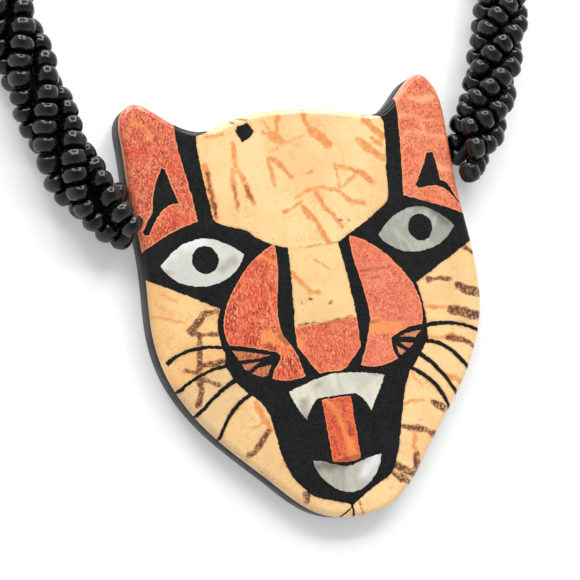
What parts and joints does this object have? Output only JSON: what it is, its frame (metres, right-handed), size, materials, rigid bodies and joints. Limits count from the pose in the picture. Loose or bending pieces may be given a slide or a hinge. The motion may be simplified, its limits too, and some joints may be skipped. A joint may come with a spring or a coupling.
{
  "type": "inlaid pendant necklace",
  "caption": "Flat big-cat-face inlay pendant in a black cast body, hung on two twisted ropes of black beads with end caps and a lobster clasp.",
  "frame": {"origin": "middle of the pendant's box, on the surface it lies on", "axes": "+X the right of the face as looked at, +Y from chin to ears, +Z out of the face"},
  "size_m": [0.0992, 0.2081, 0.0093],
  "materials": {
    "black_resin": "polished cast resin",
    "coral_left": "polished coral red",
    "coral_right": "polished pale coral",
    "cream_stone": "polished cream with brown veins",
    "shell": "polished mother of pearl",
    "black_beads": "opaque black glass",
    "bead_cord": "waxed thread",
    "silver": "polished silver"
  },
  "bodies": {
    "necklace": {"left_ear": "coral_left", "right_ear": "coral_right", "forehead": "cream_stone", "nose_bridge": "cream_stone", "nose_tip": "coral_right", "left_muzzle": "coral_left", "right_muzzle": "coral_right", "left_sliver_upper": "coral_left", "left_sliver_middle": "coral_left", "left_sliver_lower": "coral_left", "right_sliver_upper": "coral_right", "right_sliver_middle": "coral_right", "right_sliver_lower": "coral_right", "left_eye": "shell", "right_eye": "shell", "upper_teeth": "shell", "tongue": "coral_left", "lower_teeth": "shell", "left_cheek": "cream_stone", "left_stripe_upper": "cream_stone", "left_stripe_lower": "cream_stone", "left_jaw": "cream_stone", "chin_wedge": "cream_stone", "right_cheek": "cream_stone", "right_stripe_upper": "cream_stone", "right_stripe_middle": "cream_stone", "right_stripe_lower": "cream_stone", "right_jaw": "cream_stone", "resin_body": "black_resin", "stringing_cord": "bead_cord", "left_rope": "black_beads", "right_rope": "black_beads", "left_end_cap": "silver", "right_end_cap": "silver", "left_eye_pin": "silver", "right_eye_pin": "silver"},
    "clasp_ring_body": {"clasp_ring": "silver"},
    "claw_body": {"clasp_claw": "silver", "clasp_pivot_pin": "silver"},
    "trigger_body": {"clasp_trigger": "silver"},
    "tail_ring_body": {"tail_ring": "silver"}
  },
  "joints": [
    {"name": "clasp_ring_swing", "type": "hinge", "parent": "necklace", "child": "clasp_ring_body", "pos_m": [-0.01478, 0.16834, 0], "axis": [0, 0, 1], "range_deg": [-40, 40]},
    {"name": "claw_swing", "type": "hinge", "parent": "clasp_ring_body", "child": "claw_body", "pos_m": [-0.0114, 0.17118, 0], "axis": [0, 0, 1], "range_deg": [-45, 45]},
    {"name": "trigger_open", "type": "hinge", "parent": "claw_body", "child": "trigger_body", "pos_m": [-0.00798, 0.1731, 0], "axis": [0, 0, -1], "range_deg": [0, 25], "stiffness_Nm_per_rad": 0.0015},
    {"name": "tail_ring_swing", "type": "hinge", "parent": "necklace", "child": "tail_ring_body", "pos_m": [0.01354, 0.16812, 0], "axis": [0, 0, 1], "range_deg": [-40, 40]}
  ]
}
